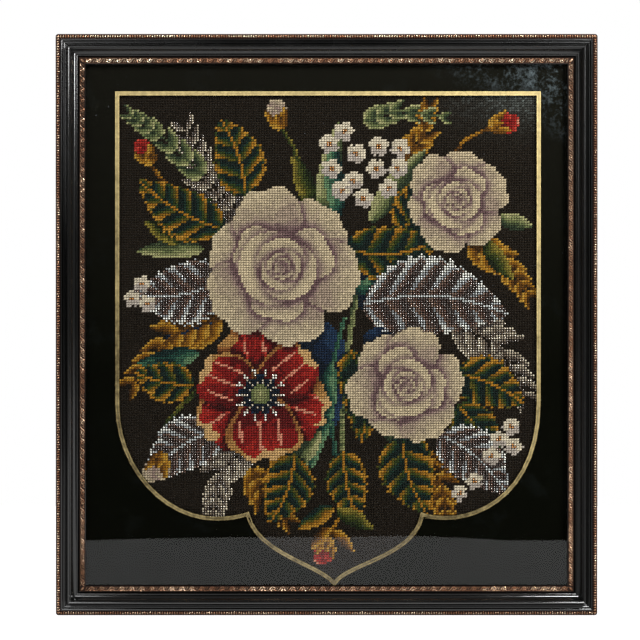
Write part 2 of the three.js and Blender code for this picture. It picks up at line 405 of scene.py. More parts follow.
STALKS = (
    # points, width, bundle
    (((-20, 330), (-24, 372), (-38, 396)), 3.4, "olive"),
    (((96, 360), (112, 384), (136, 396)), 3.2, "ochre"),
    (((-120, 340), (-136, 356), (-142, 364)), 3.0, "ochre"),
    (((-96, 190), (-128, 158), (-134, 136)), 3.2, "olive"),
    (((8, 120), (14, 92), (2, 62)), 3.2, "ochre"),
    (((24, 262), (16, 200), (10, 96)), 4.6, "sage"),
    (((14, 240), (2, 180), (10, 110)), 4.0, "teal"),
)
SLENDER_LEAVES = (
    # x, z, turn, length, width, bundle, bend
    (-6, 318, 76, 84, 19, "sage", 0.06),
    (10, 322, 98, 66, 15, "teal", -0.05),
    (36, 318, 60, 74, 18, "sage", -0.12),
    (-12, 330, 104, 46, 15, "olive", 0.1),
    (22, 262, 15, 60, 17, "teal", 0.12),
    (12, 205, -62, 84, 17, "sage", 0.10),
    (4, 205, -98, 92, 17, "teal", -0.06),
    (-6, 150, -120, 52, 15, "sage", -0.1),
    (-100, 296, 176, 54, 15, "sage", 0.1),
    (140, 322, -20, 28, 13, "sage", 0.1),
    (128, 304, -60, 40, 14, "olive", 0.1),
    (-120, 300, 140, 34, 12, "olive", 0.1),
    (-104, 212, 196, 50, 16, "teal", -0.12),
)
BROAD_LEAVES = (
    # x, z, turn, length, width, bundle, bend, veins, lit side
    (-84, 312, 150, 80, 42, "leaf", 0.06, 6, 1),
    (-66, 340, 108, 66, 42, "leaf", -0.07, 5, -1),
    (-82, 272, 190, 78, 52, "ice", 0.08, 6, 1),
    (62, 306, 62, 60, 36, "leaf", 0.05, 5, 1),
    (16, 296, 6, 76, 46, "leaf", -0.1, 5, -1),
    (30, 252, -4, 118, 66, "ice", 0.09, 7, 1),
    (104, 196, -24, 62, 42, "leaf", 0.06, 5, 1),
    (106, 170, -58, 60, 36, "leaf", 0.06, 5, -1),
    (62, 148, -74, 70, 46, "leaf", -0.08, 5, 1),
    (92, 146, -42, 74, 46, "ice", 0.08, 6, 1),
    (-88, 150, 214, 70, 46, "ice", -0.08, 6, -1),
    (-26, 130, 250, 60, 42, "leaf", 0.08, 5, -1),
    (14, 132, 282, 58, 34, "leaf", -0.06, 5, 1),
    (-108, 186, 168, 50, 34, "leaf", 0.06, 4, 1),
    (20, 214, -84, 76, 40, "leaf", 0.1, 5, 1),
)
BLOSSOMS = (
    # x, z, size
    (4, 362, 8.4), (22, 352, 8.4), (40, 362, 8.4), (12, 344, 8.4), (30, 338, 8.4), (50, 346, 8.4),
    (58, 362, 8.4), (24, 374, 8.4), (42, 380, 8.4), (2, 382, 8.4), (60, 378, 8.4), (14, 392, 8.4),
    (140, 142, 7.6), (150, 152, 7.6), (152, 136, 7.6), (134, 128, 7.6), (120, 108, 7.0), (108, 98, 7.0),
    (-150, 268, 7.0), (-158, 256, 7.0), (-146, 252, 7.0),
)
BUDS = (
    # x, z, turn, size, bundle
    (-40, 402, 108, 15, "rose"),
    (140, 398, 20, 15, "red"),
    (-146, 372, 128, 14, "red"),
    (-136, 122, 250, 16, "rose"),
    (0, 54, 258, 14, "red"),
)
TIP_LEAVES = (
    (6, 86, 205, 34, 13, "leaf", 0.1),
    (8, 84, 338, 34, 13, "olive", -0.1),
    (3, 70, 222, 24, 9, "ochre", 0.1),
    (5, 68, 320, 24, 9, "ochre", -0.1),
)


def chart_bouquet(chart):
    """The whole design, from the back to the front."""
    for x, z, turn, length, width in SHADOW_BLADES:
        blade(chart, x, z, turn, length, width, "night", low=0, high=0.9)
    for row in FRONDS:
        frond(chart, *row)
    for row in STALKS:
        stalk(chart, *row)
    for row in SLENDER_LEAVES:
        blade(chart, *row)
    for row in BROAD_LEAVES:
        veined_leaf(chart, *row)
    cabbage_rose(chart, 106, 336, 41, 20)
    poppy(chart, -54, 178, 58, 8)
    cabbage_rose(chart, 64, 186, 46, 75)
    cabbage_rose(chart, -36, 282, 62, -12)
    for number, (x, z, size) in enumerate(BLOSSOMS):
        blossom(chart, x, z, size, 20 * number)
    for row in BUDS:
        bud(chart, *row)
    for row in TIP_LEAVES:
        blade(chart, *row)


# Materials


class Socket:
    """An output of a material's node. Arithmetic on it adds Math nodes."""

    def __init__(self, finish, socket):
        self.finish, self.socket = finish, socket

    def worked(self, operation, *others):
        return self.finish.add("ShaderNodeMath", {"operation": operation}, dict(enumerate(others)))

    def __add__(self, other):
        return self.worked("ADD", self, other)

    def __sub__(self, other):
        return self.worked("SUBTRACT", self, other)

    def __rsub__(self, other):
        return self.worked("SUBTRACT", other, self)

    def __mul__(self, other):
        return self.worked("MULTIPLY", self, other)

    def __truediv__(self, other):
        return self.worked("DIVIDE", self, other)

    def __lt__(self, other):
        return self.worked("LESS_THAN", self, other)

    def __gt__(self, other):
        return self.worked("GREATER_THAN", self, other)

    def sine(self):
        return self.worked("SINE", self)

    __radd__ = __add__
    __rmul__ = __mul__


class Finish:
    """A material, or a world, and the nodes that make it."""

    def __init__(self, name, kind="materials"):
        self.material = getattr(bpy.data, kind).new(name)
        self.material.use_nodes = True
        self.tree = self.material.node_tree
        self.tree.nodes.clear()

    def add(self, kind, settings=None, inputs=None, output=0):
        node = self.tree.nodes.new(kind)
        for key, value in (settings or {}).items():
            if key == "stops":
                self.set_stops(node.color_ramp, value)
            else:
                setattr(node, key, value)
        for key, value in (inputs or {}).items():
            if isinstance(value, Socket):
                self.tree.links.new(value.socket, node.inputs[key])
            else:
                node.inputs[key].default_value = value
        return Socket(self, node.outputs[output]) if node.outputs else None

    @staticmethod
    def set_stops(ramp, stops):
        while len(ramp.elements) < len(stops):
            ramp.elements.new(1)
        for element, (position, value) in zip(ramp.elements, stops):
            element.position = position
            element.color = (value, value, value, 1)

    def place(self):
        """Places on the piece, in metres."""
        return self.add("ShaderNodeTexCoord", output="Object")

    def axes(self, place):
        """The x, y and z of a place."""
        first = self.add("ShaderNodeSeparateXYZ", inputs={0: place})
        return [Socket(self, first.socket.node.outputs[k]) for k in range(3)]

    def stretched(self, place, scale):
        return self.add("ShaderNodeMapping", inputs={"Vector": place, "Scale": scale})

    def noise(self, place, scale, detail=3.0, roughness=0.5):
        return self.add("ShaderNodeTexNoise", inputs={"Vector": place, "Scale": scale, "Detail": detail,
                                                      "Roughness": roughness})

    def steps(self, value, *stops):
        """A number turned into another by a ramp of (place, level) stops."""
        return self.add("ShaderNodeValToRGB", {"stops": stops}, {"Fac": value})

    def blend(self, factor, first, second, mode="MIX"):
        """Two colours mixed."""
        colours = {6: first, 7: second}
        colours = {key: c if isinstance(c, Socket) else (*c, 1) for key, c in colours.items()}
        return self.add("ShaderNodeMix", {"data_type": "RGBA", "blend_type": mode},
                        {0: factor, **colours}, output=2)

    def bump(self, height, distance, strength=1.0):
        return self.add("ShaderNodeBump", inputs={"Height": height, "Distance": distance,
                                                  "Strength": strength})

    def shader(self, colour, roughness, **inputs):
        if not isinstance(colour, Socket):
            colour = (*colour, 1)
        sockets = {"Base Color": colour, "Roughness": roughness}
        for key, value in inputs.items():
            sockets[key.replace("_", " ").title().replace("Ior", "IOR")] = value
        return self.add("ShaderNodeBsdfPrincipled", inputs=sockets)

    def show(self, shader):
        self.add("ShaderNodeOutputMaterial", inputs={"Surface": shader})
        return self.material


def dress(piece, material):
    """Gives a piece one material."""
    piece.data.materials.clear()
    piece.data.materials.append(material)


def dress_node(node, material):
    """Gives a carried-over node's object its material."""
    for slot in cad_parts[node].material_slots:
        slot.material = material


def ebony_finish(name, colour, gloss, dull, shine):
    """Black stained and polished wood, bare at the back, with dull patches and lighter worn patches.

    gloss and dull are the least and the most roughness, and shine is how strongly it mirrors.
    """
    f = Finish(name)
    place = f.place()
    y = f.axes(place)[1]
    patches = f.noise(place, 22, 4)
    fine = f.noise(place, 420, 3)
    back = y > FRAME_HIGH.y - 0.1 * MM
    grain = f.noise(f.stretched(place, (30, 400, 30)), 6, 5)
    wood = f.blend(grain, (0.10, 0.055, 0.028), (0.24, 0.145, 0.075))
    worn = f.steps(fine * 0.45 + patches * 0.55, (0.60, 0.0), (0.74, 1.0))
    black = f.blend(worn * 0.5, colour, (0.014, 0.012, 0.010))
    roughness = f.steps(patches, (0.3, gloss), (0.75, dull)) + back * 0.5
    height = fine * 0.2 + patches * 0.8
    shader = f.shader(f.blend(back, black, wood), roughness, specular_ior_level=shine,
                      normal=f.bump(height, 0.1 * MM, 0.4))
    return f.show(shader)


def gilt_finish(name, copper, dirt_and_shade, base, crest, brightness):
    """Copper gilt, dark brown down at the base's depth as dirt and painted shade, bright up at the crest's,
    with painted highlights and each side's painted light.
    """
    f = Finish(name)
    copper = tuple(brightness * c for c in copper)
    place = f.place()
    y = f.axes(place)[1]
    # Dirt and painted shade: the colour darkens with depth down towards the base.
    raised = (base - y) / (base - crest)
    patches = f.noise(place, 46, 4)
    fine = f.noise(place, 900, 2)
    bright = f.steps(raised * 0.85 + patches * 0.5 + fine * 0.1 - 0.3, (0.2, 0.0), (0.85, 1.0))
    # Painted highlights: pale flecks on the raised parts, where the lamps would glint.
    pale = tuple(min(1.0, brightness * c) for c in (1.3, 1.08, 0.78))
    body = f.blend(bright, tuple(brightness * c for c in dirt_and_shade), copper)
    highlight_flecks = f.steps(patches * 0.4 + fine * 0.6, (0.49, 0.0), (0.58, 1.0))
    lights = highlight_flecks * f.steps(raised, (0.55, 0.0), (0.9, 1.0))
    shader = f.shader(f.blend(lights * 0.8, body, pale), f.steps(bright, (0.0, 0.6), (1.0, 0.2)),
                      metallic=f.steps(bright, (0.0, 0.0), (0.6, 0.9)), specular_ior_level=0.12,
                      normal=f.bump(fine, 0.05 * MM, 0.4))
    return f.show(shader)


def glass_finish():
    """Clear glass that mirrors at its front face, with a little dust."""
    f = Finish("clear glass")
    place = f.place()
    clear = f.add("ShaderNodeBsdfTransparent", inputs={"Color": (0.98, 0.98, 0.97, 1)})
    waves = f.bump(f.noise(place, 5, 1), 0.9 * MM, 1.0)
    mirror = f.add("ShaderNodeBsdfAnisotropic", inputs={"Color": (1, 1, 1, 1), "Roughness": 0.02,
                                                        "Normal": waves})
    inside = f.add("ShaderNodeNewGeometry", output="Backfacing")
    gloss = f.add("ShaderNodeFresnel", inputs={"IOR": 1.5}) * 0.65 * (1 - inside)
    pane = f.add("ShaderNodeMixShader", inputs={0: gloss, 1: clear, 2: mirror})
    haze = f.add("ShaderNodeBsdfDiffuse", inputs={"Color": (0.55, 0.6, 0.66, 1)})
    spots = f.add("ShaderNodeTexVoronoi", {"feature": "F1"},
                  {"Vector": place, "Scale": 160, "Randomness": 1.0}, output="Distance")
    clusters = f.steps(f.noise(place, 9, 3), (0.55, 0.0), (0.72, 1.0))
    dust = f.steps(spots, (0.03, 1.0), (0.07, 0.0)) * clusters * (1 - inside)
    return f.show(f.add("ShaderNodeMixShader", inputs={0: dust * 0.35, 1: pane, 2: haze}))


def border_finish():
    """Black paint behind the glass, with a grey bloom that spreads from the upper right corner."""
    f = Finish("black glass paint")
    place = f.place()
    x, _, z = f.axes(place)
    low, high = span("black_border")
    right = (x - high.x * 0.45) / (high.x * 0.55)
    reach = 60 * MM  # how far down the bloom comes
    upper = (z - (high.z - reach)) / reach
    corner = f.steps(right * 0.5 + upper * 0.5, (0.35, 0.0), (0.95, 1.0))
    clouds = f.noise(place, 34, 6, 0.7)
    flakes = f.noise(place, 280, 6, 0.85)
    bloom = f.steps(clouds * 0.42 + flakes * 0.58, (0.5, 0.0), (0.62, 1.0)) * corner
    faint = f.steps(clouds, (0.55, 0.0), (0.8, 0.02))
    # The paint is made lighter towards the top.
    haze = f.steps((z - low.z) / (high.z - low.z), (0.4, 0.0), (1.0, 1.0))
    paint = f.blend(haze, (0.0019, 0.0021, 0.0013), (0.0062, 0.0060, 0.0045))
    colour = f.blend(bloom * 0.72 + faint, paint, (0.17, 0.215, 0.24))
    shader = f.shader(colour, 0.5, specular_ior_level=0.0)
    return f.show(shader)


def gold_finish(name, colour):
    """Gold laid by brush: streaked and thin in places, and made brightest towards the upper right as
    painted light.
    """
    f = Finish(name)
    place = f.place()
    x, _, z = f.axes(place)
    low, high = span("gold_line")
    streaks = f.noise(place, 260, 5, 0.6)
    patches = f.noise(place, 28, 3)
    right = (x - low.x) / (high.x - low.x)
    # Painted light: the gold is made brighter towards the upper right, where the key lamp's reflection
    # falls.
    upper = f.steps((z - low.z) / (high.z - low.z) * 0.72 + right * 0.28, (0.35, 0.0), (1.0, 1.0))
    light = tuple(min(1.0, 1.5 * c + 0.04) for c in colour)
    dark = tuple(part * c for part, c in zip((0.2, 0.185, 0.15), colour))
    tone = f.steps(streaks * 0.5 + patches * 0.3 + upper * 0.45, (0.33, 0.0), (0.9, 1.0))
    shader = f.shader(f.blend(tone, dark, light), f.steps(streaks, (0.3, 0.38), (0.7, 0.55)),
                      metallic=0.35, normal=f.bump(streaks, 0.05 * MM, 0.6))
    return f.show(shader)


def wool_finish():
    """Wool in the colour of its thread, twisted from two plies, with soft fibres."""
    f = Finish("wool")
    thread = f.add("ShaderNodeAttribute", {"attribute_name": "Thread"}, output="Color")
    ply = f.add("ShaderNodeUVMap", {"uv_map": "Ply"})
    u, v, _ = f.axes(ply)
    twist = ((u * 3.0 + v * 1.2) * math.tau).sine()
    fibres = f.noise(f.place(), 2600, 2, 0.7)
    shade = f.blend(1.0, thread, f.steps(fibres, (0.2, 0.78), (0.8, 1.0)), "MULTIPLY")
    shader = f.shader(shade, 0.86, sheen_weight=0.05, sheen_roughness=0.4, specular_ior_level=0.1,
                      normal=f.bump(twist * 0.5 + fibres, 0.12 * MM, 0.6))
    return f.show(shader)


def bead_finish():
    """Glass beads in the colour of their thread."""
    f = Finish("glass beads")
    thread = f.add("ShaderNodeAttribute", {"attribute_name": "Thread"}, output="Color")
    shader = f.shader(thread, 0.2, coat_weight=1.0, coat_roughness=0.1, coat_ior=1.7,
                      specular_ior_level=1.0)
    return f.show(shader)


def canvas_finish():
    """Aged even-weave canvas, near black all over as painted shade in the gaps between the stitches, and
    bare at its margin.
    """
    f = Finish("canvas")
    place = f.place()
    x, _, z = f.axes(place)
    across, up = 1.057, 1.005  # from one thread of the canvas to the next, in millimetres
    warp = (x * (math.tau / across / MM)).sine()
    weft = (z * (math.tau / up / MM)).sine()
    fibres = f.noise(place, 1500, 3)
    # Painted shade: the canvas is near black so that the gaps between the stitches read dark.
    colour = f.blend(fibres, (0.006, 0.005, 0.004), (0.022, 0.018, 0.013))
    shader = f.shader(colour, 0.92, normal=f.bump(warp + weft + fibres, 0.1 * MM, 0.8))
    return f.show(shader)


def board_finish():
    """A bare softwood board with long grain."""
    f = Finish("backboard")
    place = f.place()
    warped = f.noise(f.stretched(place, (9, 9, 1.2)), 1.5, 3)
    rings = f.add("ShaderNodeTexWave", {"wave_type": "BANDS", "bands_direction": "X"},
                  {"Vector": f.stretched(place, (1, 1, 0.06)), "Scale": 42, "Distortion": 9,
                   "Detail": 3})
    fibres = f.noise(f.stretched(place, (260, 260, 9)), 4, 4)
    grain = rings * 0.55 + fibres * 0.3 + warped * 0.2
    colour = f.blend(grain, (0.13, 0.07, 0.032), (0.36, 0.225, 0.115))
    shader = f.shader(colour, 0.75, normal=f.bump(fibres + rings * 0.4, 0.15 * MM, 0.6))
    return f.show(shader)


# Modelling


def deselect():
    if bpy.context.object and bpy.context.object.mode != "OBJECT":
        bpy.ops.object.mode_set(mode="OBJECT")
    bpy.ops.object.select_all(action="DESELECT")


def placed(name, data):
    """A new object in the scene."""
    piece = bpy.data.objects.new(name, data)
    bpy.context.scene.collection.objects.link(piece)
    return piece


def choose(active, *others):
    """Selects some pieces and nothing else."""
    deselect()
    for piece in (active, *others):
        piece.select_set(True)
    bpy.context.view_layer.objects.active = active


def modified(piece, kind, **settings):
    """Gives the active piece a modifier and applies it."""
    modifier = piece.modifiers.new(kind, kind)
    for key, value in settings.items():
        setattr(modifier, key, value)
    bpy.ops.object.modifier_apply(modifier=modifier.name)


def pick(test):
    """Selects the vertices that pass a test on their place, in edit mode."""
    mesh = bpy.context.object.data
    shape = bmesh.from_edit_mesh(mesh)
    for vertex in shape.verts:
        vertex.select_set(test(vertex.co))
    shape.select_flush_mode()
    bmesh.update_edit_mesh(mesh)


def settle(piece, name):
    """Puts a finished piece's place into its mesh, and names it."""
    choose(piece)
    bpy.ops.object.transform_apply(location=True, rotation=True, scale=True)
    piece.name = name
    return piece


def strand(length, width, columns, arch, turn):
    """One laid strand: a narrow grid, arched along its middle and sunk into the canvas at its ends."""
    deselect()
    bpy.ops.mesh.primitive_grid_add(x_subdivisions=columns, y_subdivisions=2, size=1)
    piece = bpy.context.object
    piece.scale = (length, width, 1)
    bpy.ops.object.transform_apply(scale=True)
    bpy.ops.object.mode_set(mode="EDIT")
    bpy.ops.mesh.select_mode(type="VERT")
    for raised, part in ((lambda co: abs(co.y) < 0.1 * width, 0.45),
                         (lambda co: abs(co.x) < 0.4 * length, 0.4),
                         (lambda co: abs(co.x) < 0.15 * length, 0.15)):
        pick(raised)
        bpy.ops.transform.translate(value=(0, 0, part * arch))
    pick(lambda co: abs(co.x) > 0.4 * length)
    bpy.ops.transform.resize(value=(1, 0.55, 1), center_override=(0, 0, 0))
    bpy.ops.transform.translate(value=(0, 0, -0.3 * arch))
    bpy.ops.object.mode_set(mode="OBJECT")
    piece.rotation_euler = (0, 0, turn)
    bpy.ops.object.transform_apply(rotation=True)
    piece.rotation_euler = (math.pi / 2, 0, 0)
    bpy.ops.object.transform_apply(rotation=True)
    return piece


def cross_stitch(width, height, strand_width):
    """Two crossed strands that face the viewer."""
    slope = math.atan2(height, width)
    length = 0.9 * math.hypot(width, height)
    under = strand(length, strand_width, columns=2, arch=0.55 * MM, turn=-slope)
    over = strand(length, strand_width, columns=4, arch=1.15 * MM, turn=slope)
    joined([over, under])
    bpy.ops.object.shade_smooth()
    return over


def seed_bead(diameter, turn):
    """A small round bead, a little shorter along its hole, which lies along the stitch."""
    deselect()
    bpy.ops.mesh.primitive_uv_sphere_add(segments=8, ring_count=4, radius=diameter / 2)
    piece = bpy.context.object
    piece.scale = (1, 1, 0.86)
    piece.rotation_euler = (0, math.pi / 2 - turn, 0)
    bpy.ops.object.transform_apply(rotation=True, scale=True)
    bpy.ops.object.shade_smooth()
    return piece


DYE = 0.09  # how far the shade of one thread strays from stitch to stitch


def sewn(name, model, places, colours, grime_and_shade, jitter, rng):
    """One mesh of a model copied to many places, each copy in its own colour and a little different.

    Where a copy meets the canvas it loses part of its colour, as grime and as painted shade down between
    the stitches.
    """
    mesh = model.data
    shape = np.empty((len(mesh.vertices), 3), np.float32)
    mesh.vertices.foreach_get("co", shape.ravel())
    corner_vertex = np.empty(len(mesh.loops), np.int32)
    mesh.loops.foreach_get("vertex_index", corner_vertex)
    starts = np.empty(len(mesh.polygons), np.int32)
    mesh.polygons.foreach_get("loop_start", starts)
    ply = np.empty((len(mesh.loops), 2), np.float32)
    mesh.uv_layers[0].uv.foreach_get("vector", ply.ravel())

    count = len(places)
    size = 1 + rng.normal(0, jitter, (count, 1, 3))
    turn = rng.normal(0, 0.9 * jitter, (count, 1))
    shapes = shape[None] * size
    c, s = np.cos(turn), np.sin(turn)
    x, y, z = shapes[..., 0], shapes[..., 1], shapes[..., 2]
    points = np.stack([x * c - z * s, y, x * s + z * c], -1) + places[:, None]
    points = points.reshape(-1, 3).astype(np.float32)

    offsets = np.arange(count, dtype=np.int32)[:, None]
    corners = (corner_vertex[None] + offsets * len(shape)).ravel()
    sewn_mesh = bpy.data.meshes.new(name)
    sewn_mesh.vertices.add(len(points))
    sewn_mesh.vertices.foreach_set("co", points.ravel())
    sewn_mesh.loops.add(len(corners))
    sewn_mesh.loops.foreach_set("vertex_index", corners)
    sewn_mesh.polygons.add(len(starts) * count)
    sewn_mesh.polygons.foreach_set("loop_start", (starts[None] + offsets * len(corner_vertex)).ravel())

    # One map for the twist of the yarn, and one seen from the front for the closing export
    sewn_mesh.uv_layers.new(name="Ply").uv.foreach_set("vector", np.tile(ply, (count, 1)).ravel())
    low, high = span("needlework")
    front = (points[corners][:, [0, 2]] - (low.x, low.z)) / (high.x - low.x, high.z - low.z)
    sewn_mesh.uv_layers.new(name="OFBake").uv.foreach_set("vector", front.astype(np.float32).ravel())
    thread = sewn_mesh.color_attributes.new("Thread", "FLOAT_COLOR", "POINT")
    tinted = colours * (1 + rng.normal(0, DYE, (count, 1)))
    # Grime and painted shade: each copy is darker towards the canvas, where the stitches sink in.
    raised = (shape[:, 1].max() - shape[:, 1]) / np.ptp(shape[:, 1])
    clean_and_lit = 1 - grime_and_shade * (1 - raised) ** 1.3
    rgba = np.ones((count, len(shape), 4), np.float32)
    rgba[..., :3] = np.clip(tinted, 0, 1)[:, None] * clean_and_lit[None, :, None]
    thread.data.foreach_set("color", rgba.ravel())
    sewn_mesh.update(calc_edges=True)
    sewn_mesh.polygons.foreach_set("use_smooth", np.ones(len(starts) * count, bool))
    return placed(name, sewn_mesh)


def discard(*pieces):
    """Removes models that were only copied from."""
    for piece in pieces:
        mesh = piece.data
        bpy.data.objects.remove(piece)
        bpy.data.meshes.remove(mesh)


def smooth_copy(node, name, angle):
    """A copy of a node with its loose triangles merged and its curves shaded smooth."""
    piece = placed(name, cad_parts[node].data.copy())
    choose(piece)
    bpy.ops.object.mode_set(mode="EDIT")
    bpy.ops.mesh.select_all(action="SELECT")
    bpy.ops.mesh.remove_doubles(threshold=SAME)
    bpy.ops.mesh.tris_convert_to_quads(face_threshold=math.radians(0.5), shape_threshold=math.pi)
    bpy.ops.object.mode_set(mode="OBJECT")
    bpy.ops.object.shade_smooth_by_angle(angle=angle)
    return piece


def carried(piece, slot, *nodes):
    """Lets a new piece ride on the frame and stand for CAD nodes, which it hides. The slot is not used."""
    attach(piece, "root")
    if nodes:
        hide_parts(*nodes)


def turned_to_side(piece, side, name):
    """Turns a strip modelled at the bottom about the frame's middle to its own side."""
    piece.matrix_world.identity()
    choose(piece)
    piece.location = (0, 0, -FRAME_MIDDLE.z)
    bpy.ops.object.transform_apply(location=True)
    piece.rotation_euler = (0, SIDES.index(side) * math.pi / 2, 0)
    piece.location = (0, 0, FRAME_MIDDLE.z)
    return settle(piece, name)


def strip_at_bottom(side):
    """The length of a side's strip, and how far its outer edge lies from the frame's middle."""
    upright = side in ("left", "right")
    return (FRAME_SIZE.z, FRAME_SIZE.x) if upright else (FRAME_SIZE.x, FRAME_SIZE.z)


def bar(length, low, high, bevel, outer_drop, corner=0.0):
    """A straight bar along X with eased front edges and mitred ends, rounded at the frame's corners.

    low and high are (depth, inward) pairs, outer_drop is how far the outer edge lies below the
    frame's middle, and corner is the radius of the frame's corners.
    """
    deselect()
    middle = ((low[0] + high[0]) / 2, FRAME_MIDDLE.z - outer_drop + (low[1] + high[1]) / 2)
    bpy.ops.mesh.primitive_cube_add(size=1, location=(0, *middle))
    piece = bpy.context.object
    piece.scale = (length, high[0] - low[0], high[1] - low[1])
    bpy.ops.object.transform_apply(location=True, scale=True)
    bpy.ops.object.mode_set(mode="EDIT")
    bpy.ops.mesh.select_mode(type="EDGE")
    shape = bmesh.from_edit_mesh(piece.data)
    for edge in shape.edges:
        edge.select_set(all(v.co.y < middle[0] for v in edge.verts) and
                        abs(edge.verts[0].co.x - edge.verts[1].co.x) > length / 2)
    bmesh.update_edit_mesh(piece.data)
    bpy.ops.mesh.bevel(offset=bevel, segments=3, profile=0.6)
    for end in (-1, 1):
        tip = Vector((end * length / 2, 0, FRAME_MIDDLE.z - outer_drop))
        cuts = [(tip, Vector((end, 0, 1)))]
        pivot = tip + Vector((-end * corner, 0, corner))
        for step in range(1, CORNER_CUTS + 1 if corner else 1):
            angle = math.radians(45 * (step - 0.5) / CORNER_CUTS)
            normal = Vector((end * math.sin(angle), 0, -math.cos(angle)))
            cuts.append((pivot + corner * normal, normal))
        for point, normal in cuts:
            bpy.ops.mesh.select_all(action="SELECT")
            bpy.ops.mesh.bisect(plane_co=point, plane_no=normal, clear_outer=True, use_fill=True)
    bpy.ops.object.mode_set(mode="OBJECT")
    return piece


def repeated(piece, count, pitch, middle_x=0.0):
    """A piece copied along X by an array, centred."""
    piece.location.x = middle_x - (count - 1) * pitch / 2
    choose(piece)
    modified(piece, "ARRAY", count=count, use_relative_offset=False, use_constant_offset=True,
             constant_offset_displace=(pitch, 0, 0))
    bpy.ops.object.transform_apply(location=True)
    return piece


def joined(pieces):
    choose(*pieces)
    bpy.ops.object.join()
    return pieces[0]


# Operators


class PANEL_OT_rails(bpy.types.Operator):
    """Make the four moulded rails, their reeds smooth and their arrises eased, in polished black"""

    bl_idname = "needlework.rails"
    bl_label = "Ebonised Rails"

    ARRIS = math.radians(32)  # how sharp an edge has to be for easing
    EASING = 0.09 * MM
    MITRE_GAP = 0.16 * MM  # what each rail lacks at each end, so that its mitre meets the next one's

    # The lower and left rails keep their polish. The upper one is duller, and the right one satin.
    POLISH = {"bottom": (0.07, 0.14, 0.85), "left": (0.12, 0.20, 0.58), "top": (0.22, 0.34, 0.6),
              "right": (0.28, 0.38, 0.2)}

    def close_mitres(self, along):
        """Lengthens the active rail at both ends, so that no light comes through its mitres."""
        bpy.ops.object.mode_set(mode="EDIT")
        bpy.ops.mesh.select_mode(type="VERT")
        for end in (-1, 1):
            pick(lambda co: end * (co - FRAME_MIDDLE).dot(along) > 0)
            bpy.ops.transform.translate(value=end * self.MITRE_GAP * along)
        bpy.ops.object.mode_set(mode="OBJECT")

    def execute(self, context):
        for side in SIDES:
            ebony = context.scene.moulding.ebony
            finish = ebony_finish(f"ebonised wood {side}", ebony, *self.POLISH[side])
            rail = smooth_copy(f"rail_{side}", f"moulded_rail_{side}", self.ARRIS)
            self.close_mitres(Vector((0, 0, 1)) if side in ("left", "right") else Vector((1, 0, 0)))
            modified(rail, "BEVEL", width=self.EASING, segments=2, limit_method="ANGLE",
                     angle_limit=self.ARRIS)
            bpy.ops.object.shade_smooth_by_angle(angle=self.ARRIS)
            dress(rail, finish)
            carried(rail, "ebonised_wood", f"rail_{side}")
        return {"FINISHED"}


class PANEL_OT_edging(bpy.types.Operator):
    """Model the ribbed gilt edging on the outer corner of each rail"""

    bl_idname = "needlework.edging"
    bl_label = "Ribbed Edging"

    # How bright each side's gilding is painted, as painted light and shade, and the dark brown between the
    # ribs: dirt and painted shade
    PAINTED_SIDE_LIGHT = {"bottom": 0.42, "left": 0.68, "top": 0.92, "right": 0.58}
    DIRT_AND_SHADE = (0.030, 0.0085, 0.0045)

    # Depths of the flat ground and of the brightest gilding, in parts of the strip's rise
    GROUND, BRIGHTEST = 0.36, 0.05

    # A rib's size along, in parts of the pitch, and across, in parts of the strip's width
    RIB_ALONG, RIB_ACROSS = 0.68, 0.76
    RIB_MIDDLE = 0.52  # how far in a rib's middle lies, in parts of the strip's width
    RIBS_SHORT = 1.25  # what the row of ribs is shorter than the strip, in the strip's widths

    def execute(self, context):
        moulding = context.scene.moulding
        low, high = span("edging_bottom")
        crest, seat = low.y, high.y
        width = high.z - low.z
        rise = seat - crest
        floor = crest + self.GROUND * rise
        for side in SIDES:
            finish = gilt_finish(f"edging gilt {side}", moulding.copper, self.DIRT_AND_SHADE, floor,
                                 crest + self.BRIGHTEST * rise, self.PAINTED_SIDE_LIGHT[side])
            length, across = strip_at_bottom(side)
            base = bar(length, (floor, 0), (seat, width), bevel=0.3 * MM, outer_drop=across / 2,
                       corner=CORNER)
            run = length - self.RIBS_SHORT * width
            gaps = round(run / moulding.rib_pitch)
            deselect()
            bpy.ops.mesh.primitive_uv_sphere_add(segments=8, ring_count=6, radius=0.5)
            rib = bpy.context.object
            rib.scale = (self.RIB_ALONG * moulding.rib_pitch, 2 * (floor - crest),
                         self.RIB_ACROSS * width)
            rib.location = (0, floor, FRAME_MIDDLE.z - across / 2 + self.RIB_MIDDLE * width)
            bpy.ops.object.transform_apply(location=True, scale=True)
            bpy.ops.object.shade_smooth()
            ribs = repeated(rib, gaps + 1, run / gaps)
            strip = turned_to_side(joined([base, ribs]), side, f"ribbed_edging_{side}")
            dress(strip, finish)
            carried(strip, "copper_gilt", f"edging_{side}")
        return {"FINISHED"}


